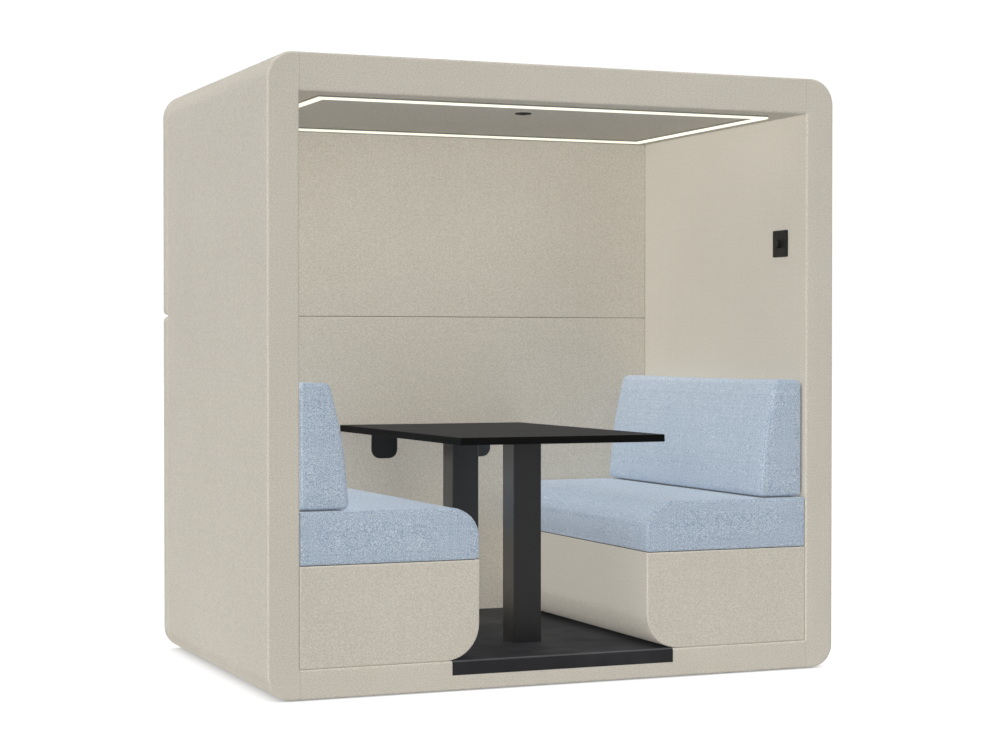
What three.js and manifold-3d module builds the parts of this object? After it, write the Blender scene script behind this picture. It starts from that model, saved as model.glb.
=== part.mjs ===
// Acoustic office pod: an upholstered shell that is open at the front, two facing benches,
// a fixed table on two columns, and a ceiling light ring with a presence sensor and a wall dimmer.
// Millimetres. +Z is up, +Y runs from the open front to the back, and the origin lies on the
// ground under the middle of the pod.

import * as THREE from "three";
import { mergeVertices } from "three/addons/utils/BufferGeometryUtils.js";
import Module from "manifold-3d";

const wasm = await Module();
wasm.setup();

// Overall size
const POD_WIDTH = 2100;
const POD_DEPTH = 1400;
const POD_HEIGHT = 2104;

// Shell panels
const WALL_THICKNESS = 110;
const ROOF_THICKNESS = 126;
const DECK_HEIGHT = 102; // top of the floor panel
const GROUND_GAP = 4; // daylight that the feet leave under the panels
const ROOF_CORNER_RADIUS = 90;
const FLOOR_CORNER_RADIUS = 80;
const EDGE_RADIUS = 8; // fabric turned round the front and rear rims
const SHELL_SEAM = 0.6; // between neighbouring shell panels
const FIT = 0.3; // between a piece and the pocket or hole that holds it

// Back of the shell: padded outer panels and thin inner linings, split at one height
const BACK_PAD_THICKNESS = 70;
const BACK_PAD_EDGE = 13;
const BACK_PAD_CORNER = 18; // at the split
const LINING_THICKNESS = 37;
const LINING_EDGE = 3;
const SPLIT_HEIGHT = 1267;
const PAD_SPLIT_GAP = 6;
const LINING_SPLIT_GAP = 2;
const LINING_LAP = 24; // tongue of the lower lining behind the upper one

// Splines that line up the side walls with the roof and the floor
const SPLINE_WIDTH = 30;
const SPLINE_THICKNESS = 12;
const SPLINE_END_SETBACK = 110;

// Floor inlay
const INLAY_THICKNESS = 50;
const INLAY_TOP = 104;
const INLAY_UNDER_BENCH = 99; // how far it runs under the rounded toe of each bench
const INLAY_NOSING = 9;

// Levelling feet
const FOOT_INSET_X = 90; // from the inner face of a side wall
const FOOT_INSET_Y = 140; // from the front and from the back of the shell
const FOOT_RADIUS = 27;
const FOOT_HEIGHT = 11;
const FOOT_RECESS_RADIUS = 31;
const FOOT_RECESS_DEPTH = 9;
const STEM_RADIUS = 6;
const STEM_LENGTH = 26;
const INSERT_RADIUS = 12;
const INSERT_LENGTH = 28;

// Benches
const BENCH_DEPTH = 628; // from the side wall to the aisle
const BENCH_SETBACK = 3; // behind the front rim of the shell
const BASE_TOP = 436.5;
const TOE_RADIUS = 122;
const BASE_EDGE = 6;
const SEAT_BOARD_THICKNESS = 9;
const SEAT_BOARD_PROUD = 1.5; // above the bench base that it is let into
const BOARD_SETBACK = 14;
const SEAT_TOP = 615.5;
const SEAT_NOSE_RADIUS = 100;
const SEAT_SEAM_RADIUS = 8;
const SEAT_CROWN = 6;
const BACK_CUSHION_LIFT = 2; // above the seat
const BACK_CUSHION_TOP = 1035;
const BACK_CUSHION_FOOT = 178; // wall to front face, at the bottom
const BACK_CUSHION_HEAD = 111; // wall to front face, at the top
const BACK_CUSHION_SETBACK = 20;
const BACK_CUSHION_CORNER = 24;
const BACK_SEAM_RADIUS = 9;
const BACK_CROWN = 9;
const BACK_BOARD_THICKNESS = 7;
const BACK_BOARD_MARGIN = 24;

// Sewn edges and panels of the cushions
const SEAM_DEPTH = 2.2;
const SIDE_DRAW = 4; // how far a side is pulled in half way between its corners
const PANEL_BULGE = 2;
const CUSHION_FACET = 92; // longest straight step round a cushion
const CUSHION_SECTIONS = 8; // steps along a cushion between its sewn ends
const SEAM_STEPS = 4; // steps round a sewn edge, with the stitch line in the middle
const PANEL_RINGS = 3;

// Table
const TABLE_WIDTH = 760;
const TABLE_TOP_HEIGHT = 846.5;
const TABLE_THICKNESS = 25.5;
const TABLE_CORNER = 5;
const TABLE_EDGE = 1.5;
const TABLE_BACK_GAP = 5;
const COLUMN_WIDTH = 106;
const COLUMN_WALL = 3;
const COLUMN_CORNER = 5;
const FRONT_COLUMN_SETBACK = 323; // open front to the front face of the front column
const REAR_COLUMN_SETBACK = 267; // back lining to the rear face of the rear column
const TOP_PLATE_WIDTH = 160;
const TOP_PLATE_THICKNESS = 6;
const BASE_PLATE_WIDTH = 200;
const BASE_PLATE_THICKNESS = 8;
const PLATE_CORNER = 10;
const BRACKET_SPACING = 393;
const BRACKET_WIDTH = 106;
const BRACKET_DROP = 108;
const BRACKET_REACH = 74;
const BRACKET_THICKNESS = 5;
const BRACKET_CORNER = 35;
const BRACKET_BEND = 8;

// Ceiling light ring
const LIGHT_SIDE_MARGIN = 98; // from the side walls
const LIGHT_FRONT_MARGIN = 102; // from the open front
const LIGHT_BACK_MARGIN = 138; // from the back lining
const LIGHT_WIDTH = 20;
const CHANNEL_THICKNESS = 2;
const STRIP_WIDTH = 10;
const STRIP_THICKNESS = 1.6;
const DIFFUSER_HEIGHT = 10;
const DIFFUSER_WALL = 1.5;

// Light driver in the roof
const DRIVER_LENGTH = 300;
const DRIVER_WIDTH = 60;
const DRIVER_HEIGHT = 35;
const DRIVER_TAB_LENGTH = 16;
const DRIVER_TAB_THICKNESS = 4;
const DRIVER_CORNER = 5;
const POCKET_MARGIN = 25; // free space round the driver
const POCKET_DEPTH = 58;
const HATCH_LEDGE = 20;
const HATCH_THICKNESS = 4;
const HATCH_CORNER = 12;
const LEAD_HOLE_RADIUS = 6;

// Presence sensor in the ceiling
const SENSOR_FROM_FRONT = 365;
const SENSOR_RADIUS = 30;
const SENSOR_RIM = 4;
const SENSOR_CAN_RADIUS = 23;
const SENSOR_CAN_DEPTH = 38;
const LENS_RADIUS = 15;
const LENS_DROP = 3;
const LENS_SEAT = 5;

// Wall dimmer
const DIMMER_FROM_FRONT = 177;
const DIMMER_HEIGHT = 1524;
const PLATE_WIDTH = 97;
const PLATE_DEPTH = 9;
const PLATE_ROUNDING = 5;
const PLATE_BEVEL = 2;
const MODULE_WIDTH = 56;
const MODULE_FACE_DEPTH = 7;
const MODULE_BODY_RADIUS = 25;
const MODULE_BODY_DEPTH = 26;
const BOX_RADIUS = 33;
const BOX_WALL = 2;
const BOX_DEPTH = 46;
const SPINDLE_RADIUS = 3;
const SPINDLE_LENGTH = 11;
const KNOB_RADIUS = 15.5;
const KNOB_HEIGHT = 15;
const KNOB_CHAMFER = 1.5;
const KNOB_LIFT = 0.8; // running gap above the dimmer's face

// Facets
const QUARTER_TURN = Math.PI / 2;
const ROUND_FACETS = 24;
const FOOT_FACETS = 14;
const ARC_STEPS = 5; // a quarter arc of an outline gets twice as many
const SMALL_ARC_STEPS = 2; // the same for corners of a few millimetres
const EDGE_STEPS = 3;
const WELD = 1e-4;
const OVERCUT = 10; // how far a cutter runs past the face that it opens

// Places worked out from the sizes above
const FRONT_Y = -POD_DEPTH / 2;
const BACK_Y = POD_DEPTH / 2;
const SHELL_BACK_Y = BACK_Y - BACK_PAD_THICKNESS;
const LINING_Y = SHELL_BACK_Y - LINING_THICKNESS;
const INNER_X = POD_WIDTH / 2 - WALL_THICKNESS;
const CEILING_Z = POD_HEIGHT - ROOF_THICKNESS;
const AISLE_X = INNER_X - BENCH_DEPTH;
const INLAY_X = AISLE_X + INLAY_UNDER_BENCH;
const INLAY_BOTTOM = INLAY_TOP - INLAY_THICKNESS;
const TABLE_UNDERSIDE = TABLE_TOP_HEIGHT - TABLE_THICKNESS;
const COLUMN_YS = {
  front: FRONT_Y + FRONT_COLUMN_SETBACK + COLUMN_WIDTH / 2,
  rear: LINING_Y - REAR_COLUMN_SETBACK - COLUMN_WIDTH / 2,
};
const LIGHT_X = INNER_X - LIGHT_SIDE_MARGIN;
const LIGHT_FRONT_Y = FRONT_Y + LIGHT_FRONT_MARGIN;
const LIGHT_BACK_Y = LINING_Y - LIGHT_BACK_MARGIN;
const DRIVER_Y = LIGHT_BACK_Y - LIGHT_WIDTH / 2;
const POCKET_FLOOR = POD_HEIGHT - HATCH_THICKNESS - POCKET_DEPTH;
const SENSOR_Y = FRONT_Y + SENSOR_FROM_FRONT;
const DIMMER_Y = FRONT_Y + DIMMER_FROM_FRONT;
const SPLINE_ZS = {
  roof: (CEILING_Z + POD_HEIGHT) / 2,
  floor: (GROUND_GAP + DECK_HEIGHT) / 2,
};
const SIDES = { left: -1, right: 1 };
const FOOT_XS = { left: -(INNER_X - FOOT_INSET_X), middle: 0, right: INNER_X - FOOT_INSET_X };
const FOOT_YS = { front: FRONT_Y + FOOT_INSET_Y, rear: SHELL_BACK_Y - FOOT_INSET_Y };
const INSERT_Z = GROUND_GAP + FOOT_RECESS_DEPTH;

// Finishes
const finish = (color, roughness, metalness = 0) =>
  new THREE.MeshStandardMaterial({ color, roughness, metalness });
const SHELL_FABRIC = finish(0xbfb7ab, 0.95);
const CUSHION_FABRIC = finish(0xaab9cf, 0.95);
const BLACK_LAMINATE = finish(0x2e2e30, 0.5);
const BLACK_STEEL = finish(0x333335, 0.55, 0.3);
const FLOOR_BLACK = finish(0x39393c, 0.8);
const DARK_BOARD = finish(0x1c1c1d, 0.8);
const BIRCH = finish(0xc9a878, 0.6);
const ZINC_STEEL = finish(0xb4b7ba, 0.4, 0.9);
const ALUMINIUM = finish(0xc8cacc, 0.35, 0.9);
const OPAL_PLASTIC = finish(0xfff4dc, 0.4);
const LIGHT_BOARD = finish(0xf2f2ee, 0.5);
const DRIVER_WHITE = finish(0xe6e6e2, 0.5);
const BLACK_PLASTIC = finish(0x1d1d1f, 0.45);
const FOOT_RUBBER = finish(0x161616, 0.9);

// Solids that can be joined and cut

function toSolid(geometry) {
  const bare = geometry.index ? geometry.toNonIndexed() : geometry.clone();
  bare.deleteAttribute("normal");
  bare.deleteAttribute("uv");
  const welded = mergeVertices(bare, WELD);
  const corners = welded.index.array;
  const triVerts = [];
  for (let i = 0; i < corners.length; i += 3) {
    const [a, b, c] = corners.subarray(i, i + 3);
    if (a !== b && b !== c && c !== a) triVerts.push(a, b, c);
  }
  const vertProperties = welded.attributes.position.array;
  return new wasm.Manifold(
    new wasm.Mesh({ numProp: 3, vertProperties, triVerts: new Uint32Array(triVerts) }),
  );
}

function toGeometry(solid) {
  const mesh = solid.getMesh();
  const shared = new THREE.BufferGeometry();
  shared.setAttribute("position", new THREE.BufferAttribute(mesh.vertProperties, 3));
  shared.setIndex(new THREE.BufferAttribute(mesh.triVerts, 1));
  const faceted = shared.toNonIndexed();
  faceted.computeVertexNormals();
  return faceted;
}

function cut(blank, ...cutters) {
  const rest = cutters.reduce((solid, cutter) => solid.subtract(toSolid(cutter)), toSolid(blank));
  return toGeometry(rest);
}

function common(a, b) {
  return toGeometry(toSolid(a).intersect(toSolid(b)));
}

function join(first, ...others) {
  const whole = others.reduce((solid, other) => solid.add(toSolid(other)), toSolid(first));
  return toGeometry(whole);
}

// Shapes and bodies

function box(x0, x1, y0, y1, z0, z1) {
  const body = new THREE.BoxGeometry(x1 - x0, y1 - y0, z1 - z0);
  return body.translate((x0 + x1) / 2, (y0 + y1) / 2, (z0 + z1) / 2);
}

function rectangle(x0, x1, y0, y1, Outline = THREE.Shape) {
  const corners = [[x0, y0], [x1, y0], [x1, y1], [x0, y1]];
  return new Outline(corners.map(([x, y]) => new THREE.Vector2(x, y)));
}

function roundedRectangle(x0, x1, y0, y1, lower, upper = lower, Outline = THREE.Shape) {
  const outline = new Outline();
  outline.moveTo(x0 + lower, y0);
  outline.absarc(x1 - lower, y0 + lower, lower, -QUARTER_TURN, 0);
  outline.absarc(x1 - upper, y1 - upper, upper, 0, QUARTER_TURN);
  outline.absarc(x0 + upper, y1 - upper, upper, QUARTER_TURN, 2 * QUARTER_TURN);
  outline.absarc(x0 + lower, y0 + lower, lower, 2 * QUARTER_TURN, 3 * QUARTER_TURN);
  outline.closePath();
  return outline;
}

function ring(x0, x1, y0, y1, width) {
  const outline = rectangle(x0, x1, y0, y1);
  outline.holes.push(rectangle(x0 + width, x1 - width, y0 + width, y1 - width, THREE.Path));
  return outline;
}

// Extrudes an outline from 0 to length along Z, with both rims rounded by edge.
function extrude(outline, length, edge, arcSteps) {
  const body = new THREE.ExtrudeGeometry(outline, {
    depth: length - 2 * edge,
    curveSegments: arcSteps,
    bevelEnabled: edge > 0,
    bevelThickness: edge,
    bevelSize: edge,
    bevelOffset: -edge,
    bevelSegments: EDGE_STEPS,
  });
  return body.translate(0, 0, edge);
}

// An outline in X and Z, extruded along Y.
function alongY(outline, y0, y1, edge = 0, arcSteps = ARC_STEPS) {
  return extrude(outline, y1 - y0, edge, arcSteps).rotateX(QUARTER_TURN).translate(0, y1, 0);
}

// An outline in Y and Z, extruded along X.
function alongX(outline, x0, x1, edge = 0, arcSteps = SMALL_ARC_STEPS) {
  const turn = new THREE.Matrix4().makeBasis(
    new THREE.Vector3(0, 1, 0),
    new THREE.Vector3(0, 0, 1),
    new THREE.Vector3(1, 0, 0),
  );
  return extrude(outline, x1 - x0, edge, arcSteps).applyMatrix4(turn).translate(x0, 0, 0);
}

// An outline in X and Y, extruded along Z.
function alongZ(outline, z0, z1, edge = 0, arcSteps = SMALL_ARC_STEPS) {
  return extrude(outline, z1 - z0, edge, arcSteps).translate(0, 0, z0);
}

// Turns a profile of [radius, height] points about the Z axis.
function turned(profile, facets = ROUND_FACETS) {
  const points = profile.map(([radius, height]) => new THREE.Vector2(radius, height));
  return new THREE.LatheGeometry(points, facets).rotateX(QUARTER_TURN);
}

function cylinder(radius, z0, z1, facets = ROUND_FACETS) {
  return turned([[0, z0], [radius, z0], [radius, z1], [0, z1]], facets);
}

function piece(name, geometry, material) {
  const mesh = new THREE.Mesh(geometry, material);
  mesh.name = name;
  return mesh;
}

// Shell

// The four panels of the shell as one tube, before it is cut along its seams.
function shellTube() {
  const outline = roundedRectangle(
    -POD_WIDTH / 2, POD_WIDTH / 2, GROUND_GAP, POD_HEIGHT, FLOOR_CORNER_RADIUS, ROOF_CORNER_RADIUS,
  );
  outline.holes.push(rectangle(-INNER_X, INNER_X, DECK_HEIGHT, CEILING_Z, THREE.Path));
  return alongY(outline, FRONT_Y, SHELL_BACK_Y, EDGE_RADIUS);
}

function splineBox(side, level, clearance) {
  const x = SIDES[side] * INNER_X;
  const z = SPLINE_ZS[level];
  const halfWidth = SPLINE_WIDTH / 2 + clearance;
  const halfThickness = SPLINE_THICKNESS / 2 + clearance;
  const y0 = FRONT_Y + SPLINE_END_SETBACK - clearance;
  const y1 = SHELL_BACK_Y - SPLINE_END_SETBACK + clearance;
  return box(x - halfWidth, x + halfWidth, y0, y1, z - halfThickness, z + halfThickness);
}

function sideWall(side, tube, ...pockets) {
  const outer = POD_WIDTH / 2 + OVERCUT;
  const bounds = side === "left" ? [-outer, -INNER_X] : [INNER_X, outer];
  const keep = box(...bounds, FRONT_Y - OVERCUT, BACK_Y, 0, POD_HEIGHT + OVERCUT);
  const grooves = Object.keys(SPLINE_ZS).map((level) => splineBox(side, level, FIT));
  const wall = cut(common(tube, keep), ...grooves, ...pockets);
  return piece(`${side}_side_wall`, wall, SHELL_FABRIC);
}

function middlePanel(tube, z0, z1) {
  const x = INNER_X - SHELL_SEAM;
  return common(tube, box(-x, x, FRONT_Y - OVERCUT, BACK_Y, z0, z1));
}

function hatchOutline(clearance) {
  const x = DRIVER_LENGTH / 2 + POCKET_MARGIN + HATCH_LEDGE + clearance;
  const y = DRIVER_WIDTH / 2 + POCKET_MARGIN + HATCH_LEDGE + clearance;
  return roundedRectangle(-x, x, DRIVER_Y - y, DRIVER_Y + y, HATCH_CORNER + clearance);
}

function roofPanel(tube) {
  const pocketX = DRIVER_LENGTH / 2 + POCKET_MARGIN;
  const pocketY = DRIVER_WIDTH / 2 + POCKET_MARGIN;
  const above = POD_HEIGHT + OVERCUT;
  const pocket = box(
    -pocketX, pocketX, DRIVER_Y - pocketY, DRIVER_Y + pocketY, POCKET_FLOOR, above,
  );
  const rebate = alongZ(hatchOutline(FIT), POD_HEIGHT - HATCH_THICKNESS, above);
  const leadX = DRIVER_LENGTH / 2 + DRIVER_TAB_LENGTH / 2;
  const leadHole = cylinder(LEAD_HOLE_RADIUS, CEILING_Z - OVERCUT, POCKET_FLOOR + OVERCUT);
  leadHole.translate(leadX, DRIVER_Y, 0);
  const sensorHole = cylinder(
    SENSOR_CAN_RADIUS + FIT, CEILING_Z - OVERCUT, CEILING_Z + SENSOR_CAN_DEPTH + FIT,
  );
  sensorHole.translate(0, SENSOR_Y, 0);
  const grooves = Object.keys(SIDES).map((side) => splineBox(side, "roof", FIT));
  const panel = middlePanel(tube, CEILING_Z - OVERCUT, above);
  const roof = cut(panel, pocket, rebate, leadHole, sensorHole, ...grooves);
  return piece("roof_panel", roof, SHELL_FABRIC);
}

// A foot recess under the floor panel and the blind hole for its threaded insert.
function footPocket(x, y) {
  const top = INSERT_Z + INSERT_LENGTH + FIT;
  const hole = INSERT_RADIUS + FIT;
  const profile = [
    [0, GROUND_GAP - OVERCUT],
    [FOOT_RECESS_RADIUS, GROUND_GAP - OVERCUT],
    [FOOT_RECESS_RADIUS, INSERT_Z],
    [hole, INSERT_Z],
    [hole, top],
    [0, top],
  ];
  return turned(profile, FOOT_FACETS).translate(x, y, 0);
}

function floorPanel(tube) {
  const x = INLAY_X + FIT;
  const recess = box(
    -x, x, FRONT_Y - OVERCUT, LINING_Y, INLAY_BOTTOM, DECK_HEIGHT + OVERCUT,
  );
  const pockets = footPlaces().map((place) => footPocket(place.x, place.y));
  const grooves = Object.keys(SIDES).map((side) => splineBox(side, "floor", FIT));
  const panel = middlePanel(tube, 0, DECK_HEIGHT + OVERCUT);
  return piece("floor_panel", cut(panel, recess, ...pockets, ...grooves), SHELL_FABRIC);
}

function splines() {
  return Object.keys(SPLINE_ZS).flatMap((level) =>
    Object.keys(SIDES).map((side) =>
      piece(`spline_${level}_${side}`, splineBox(side, level, 0), BIRCH),
    ),
  );
}

function backPanels() {
  const x = POD_WIDTH / 2;
  const half = PAD_SPLIT_GAP / 2;
  const lower = roundedRectangle(
    -x, x, GROUND_GAP, SPLIT_HEIGHT - half, FLOOR_CORNER_RADIUS, BACK_PAD_CORNER,
  );
  const upper = roundedRectangle(
    -x, x, SPLIT_HEIGHT + half, POD_HEIGHT, BACK_PAD_CORNER, ROOF_CORNER_RADIUS,
  );
  const pad = (outline) => alongY(outline, SHELL_BACK_Y, BACK_Y, BACK_PAD_EDGE);
  return [
    piece("back_panel_lower", pad(lower), SHELL_FABRIC),
    piece("back_panel_upper", pad(upper), SHELL_FABRIC),
  ];
}

function backLinings() {
  const x = INNER_X - FIT;
  const half = LINING_SPLIT_GAP / 2;
  const lining = (z0, z1) => alongY(rectangle(-x, x, z0, z1), LINING_Y, SHELL_BACK_Y, LINING_EDGE);
  const lapY = (LINING_Y + SHELL_BACK_Y) / 2;
  const lapX = x - LINING_EDGE;
  const lapFoot = SPLIT_HEIGHT - LINING_LAP;
  const lapTop = SPLIT_HEIGHT + LINING_LAP;
  const tongue = box(-lapX, lapX, lapY, SHELL_BACK_Y, lapFoot, lapTop);
  const rebate = box(
    -x - OVERCUT, x + OVERCUT, lapY - FIT, SHELL_BACK_Y + OVERCUT, lapFoot, lapTop + FIT,
  );
  const lower = join(lining(DECK_HEIGHT, SPLIT_HEIGHT - half), tongue);
  const upper = cut(lining(SPLIT_HEIGHT + half, CEILING_Z), rebate);
  return [
    piece("back_lining_lower", lower, SHELL_FABRIC),
    piece("back_lining_upper", upper, SHELL_FABRIC),
  ];
}

// Floor inlay and feet

function platePocket(y, clearance) {
  const half = BASE_PLATE_WIDTH / 2 + clearance;
  const outline = roundedRectangle(-half, half, y - half, y + half, PLATE_CORNER);
  return alongZ(outline, INLAY_BOTTOM - OVERCUT, INLAY_BOTTOM + BASE_PLATE_THICKNESS + clearance);
}

function columnHole(y) {
  const half = COLUMN_WIDTH / 2 + FIT;
  const outline = roundedRectangle(-half, half, y - half, y + half, COLUMN_CORNER);
  return alongZ(outline, INLAY_BOTTOM - OVERCUT, INLAY_TOP + OVERCUT);
}

function floorInlay() {
  const section = new THREE.Shape();
  section.moveTo(FRONT_Y, INLAY_BOTTOM);
  section.lineTo(LINING_Y - FIT, INLAY_BOTTOM);
  section.lineTo(LINING_Y - FIT, INLAY_TOP);
  section.absarc(
    FRONT_Y + INLAY_NOSING, INLAY_TOP - INLAY_NOSING, INLAY_NOSING, QUARTER_TURN, 2 * QUARTER_TURN,
  );
  section.closePath();
  const blank = alongX(section, -INLAY_X, INLAY_X);
  const cuts = Object.values(COLUMN_YS).flatMap((y) => [platePocket(y, FIT), columnHole(y)]);
  return piece("floor_inlay", cut(blank, ...cuts), FLOOR_BLACK);
}

function footPlaces() {
  return Object.entries(FOOT_YS).flatMap(([row, y]) =>
    Object.entries(FOOT_XS).map(([column, x]) => ({ name: `${row}_${column}`, x, y })),
  );
}

function footProfile() {
  const neck = STEM_RADIUS + (FOOT_RADIUS - STEM_RADIUS) / 3;
  const rim = FOOT_HEIGHT / 2;
  return [
    [0, 0],
    [FOOT_RADIUS, 0],
    [FOOT_RADIUS, rim],
    [neck, FOOT_HEIGHT],
    [STEM_RADIUS, FOOT_HEIGHT],
    [STEM_RADIUS, FOOT_HEIGHT + STEM_LENGTH],
    [0, FOOT_HEIGHT + STEM_LENGTH],
  ];
}

function insertProfile() {
  const bore = STEM_RADIUS + FIT;
  return [
    [bore, 0],
    [INSERT_RADIUS, 0],
    [INSERT_RADIUS, INSERT_LENGTH],
    [bore, INSERT_LENGTH],
    [bore, 0],
  ];
}

function levellingFoot(place) {
  const foot = piece(`foot_${place.name}`, turned(footProfile(), FOOT_FACETS), FOOT_RUBBER);
  const insert = piece(
    `foot_insert_${place.name}`, turned(insertProfile(), FOOT_FACETS), ZINC_STEEL,
  );
  foot.position.set(place.x, place.y, 0);
  insert.position.set(place.x, place.y, INSERT_Z);
  return [foot, insert];
}

// Benches, drawn for the left side. The right bench is the same group mirrored in X.

// Splits the straight steps of a closed outline so that none is longer than CUSHION_FACET.
function withShortSteps(points) {
  return points.flatMap((start, i) => {
    const end = points[(i + 1) % points.length];
    const steps = Math.ceil(start.distanceTo(end) / CUSHION_FACET);
    return Array.from({ length: steps }, (_, k) => start.clone().lerp(end, k / steps));
  });
}

// Outward normal at each corner of an outline that runs anticlockwise.
function outlineNormals(points) {
  return points.map((point, i) => {
    const before = points[(i + points.length - 1) % points.length];
    const after = points[(i + 1) % points.length];
    const inward = point.clone().sub(before).normalize();
    const onward = after.clone().sub(point).normalize();
    return new THREE.Vector2(inward.y + onward.y, -inward.x - onward.x).normalize();
  });
}

// The rounded, sewn edge between a cushion's wrap and its end panel: how far each step lies
// from the end and how far it lies inside the outline, with the stitch line drawn in half way.
function sewnEdge(radius) {
  return Array.from({ length: SEAM_STEPS + 1 }, (_, step) => {
    const angle = (QUARTER_TURN * step) / SEAM_STEPS;
    const reach = 2 * step === SEAM_STEPS ? radius - SEAM_DEPTH : radius;
    return { along: radius - reach * Math.cos(angle), inset: radius - reach * Math.sin(angle) };
  });
}

// A cushion with one outline in X and Z along its whole length in Y. The swell gives how far a
// point of the outline moves out at a share of the length from 0 to 1, negative to draw it in.
function sewnCushion(outline, y0, y1, edgeRadius, swell) {
  const points = withShortSteps(outline);
  const normals = outlineNormals(points);
  const length = y1 - y0;
  const edge = sewnEdge(edgeRadius);
  const middle = Array.from({ length: CUSHION_SECTIONS - 1 }, (_, k) => {
    const share = (k + 1) / CUSHION_SECTIONS;
    return { along: edgeRadius + share * (length - 2 * edgeRadius), inset: 0 };
  });
  const far = edge.map(({ along, inset }) => ({ along: length - along, inset })).reverse();
  const sections = [...edge, ...middle, ...far];

  const positions = [];
  const rows = sections.map(({ along, inset }) =>
    points.map((point, i) => {
      const out = swell(point, along / length) - inset;
      positions.push(point.x + normals[i].x * out, y0 + along, point.y + normals[i].y * out);
      return positions.length / 3 - 1;
    }),
  );

  const faces = [];
  const bridge = (row, next) =>
    row.forEach((corner, i) => {
      const j = (i + 1) % row.length;
      faces.push(corner, next[i], next[j], corner, next[j], row[j]);
    });
  rows.slice(1).forEach((row, i) => bridge(rows[i], row));

  // An end panel closes each end in rings that shrink to its middle, which stands proud.
  const closeEnd = (rim, outwards) => {
    const count = rim.length;
    const at = (corner) => new THREE.Vector3().fromArray(positions, 3 * corner);
    const centre = rim.reduce((sum, corner) => sum.add(at(corner)), new THREE.Vector3());
    centre.divideScalar(count);
    const add = (point, share) => {
      positions.push(point.x, point.y + outwards * PANEL_BULGE * (1 - share * share), point.z);
      return positions.length / 3 - 1;
    };
    let row = rim;
    for (let k = 1; k < PANEL_RINGS; k += 1) {
      const share = 1 - k / PANEL_RINGS;
      const next = rim.map((corner) => add(centre.clone().lerp(at(corner), share), share));
      if (outwards < 0) bridge(next, row);
      else bridge(row, next);
      row = next;
    }
    const hub = add(centre, 0);
    row.forEach((corner, i) => {
      const onward = row[(i + 1) % count];
      if (outwards < 0) faces.push(corner, onward, hub);
      else faces.push(onward, corner, hub);
    });
  };
  closeEnd(rows[0], -1);
  closeEnd(rows[rows.length - 1], 1);

  const geometry = new THREE.BufferGeometry();
  geometry.setAttribute("position", new THREE.Float32BufferAttribute(positions, 3));
  geometry.setIndex(faces);
  geometry.computeVertexNormals();
  return geometry;
}

// Rises from 0 at both ends of a span to 1 in its middle.
function hump(value, start, end) {
  const share = THREE.MathUtils.clamp((value - start) / (end - start), 0, 1);
  return Math.sin(Math.PI * share);
}

function benchBase() {
  const wall = -INNER_X + FIT;
  const outline = new THREE.Shape();
  const toeX = -AISLE_X - TOE_RADIUS;
  outline.moveTo(wall, DECK_HEIGHT);
  outline.lineTo(toeX, DECK_HEIGHT);
  outline.absarc(toeX, DECK_HEIGHT + TOE_RADIUS, TOE_RADIUS, -QUARTER_TURN, 0);
  outline.lineTo(-AISLE_X, BASE_TOP);
  outline.lineTo(wall, BASE_TOP);
  outline.closePath();
  const blank = alongY(outline, FRONT_Y + BENCH_SETBACK, LINING_Y - FIT, BASE_EDGE);
  return cut(blank, seatBoard(FIT));
}

function seatBoard(clearance) {
  const top = BASE_TOP + SEAT_BOARD_PROUD;
  return box(
    -INNER_X + BOARD_SETBACK - clearance,
    -AISLE_X - BOARD_SETBACK + clearance,
    FRONT_Y + BENCH_SETBACK + BOARD_SETBACK - clearance,
    LINING_Y - BOARD_SETBACK + clearance,
    top - SEAT_BOARD_THICKNESS,
    top,
  );
}

function seatCushion() {
  const wall = -INNER_X + FIT;
  const bottom = BASE_TOP + SEAT_BOARD_PROUD + FIT;
  const noseX = -AISLE_X - SEAT_NOSE_RADIUS;
  const outline = new THREE.Shape();
  outline.moveTo(wall, bottom);
  outline.lineTo(-AISLE_X, bottom);
  outline.absarc(noseX, SEAT_TOP - SEAT_NOSE_RADIUS, SEAT_NOSE_RADIUS, 0, QUARTER_TURN);
  outline.lineTo(wall, SEAT_TOP);
  const points = outline.getPoints(ARC_STEPS - 1);
  const swell = (point, share) => {
    const lengthwise = hump(share, 0, 1);
    if (point.y >= SEAT_TOP) {
      return SEAT_CROWN * Math.sqrt(lengthwise) * hump(point.x, -INNER_X + BACK_CUSHION_FOOT, noseX);
    }
    return point.x >= -AISLE_X ? -SIDE_DRAW * lengthwise : 0;
  };
  const y0 = FRONT_Y + BENCH_SETBACK + PANEL_BULGE;
  const y1 = LINING_Y - PANEL_BULGE - FIT;
  return sewnCushion(points, y0, y1, SEAT_SEAM_RADIUS, swell);
}

function backBoard() {
  const bottom = SEAT_TOP + BACK_CUSHION_LIFT + BACK_BOARD_MARGIN;
  const inset = BACK_CUSHION_SETBACK + BACK_BOARD_MARGIN;
  return box(
    -INNER_X,
    -INNER_X + BACK_BOARD_THICKNESS,
    FRONT_Y + inset,
    LINING_Y - inset,
    bottom,
    BACK_CUSHION_TOP - BACK_BOARD_MARGIN,
  );
}

// A quarter-round-like corner between two straight runs, as a curve from one run to the other.
function softCorner(outline, corner, before, after) {
  const step = (from) => corner.clone().add(from.clone().sub(corner).setLength(BACK_CUSHION_CORNER));
  const start = step(before);
  const end = step(after);
  outline.lineTo(start.x, start.y);
  outline.quadraticCurveTo(corner.x, corner.y, end.x, end.y);
}

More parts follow.
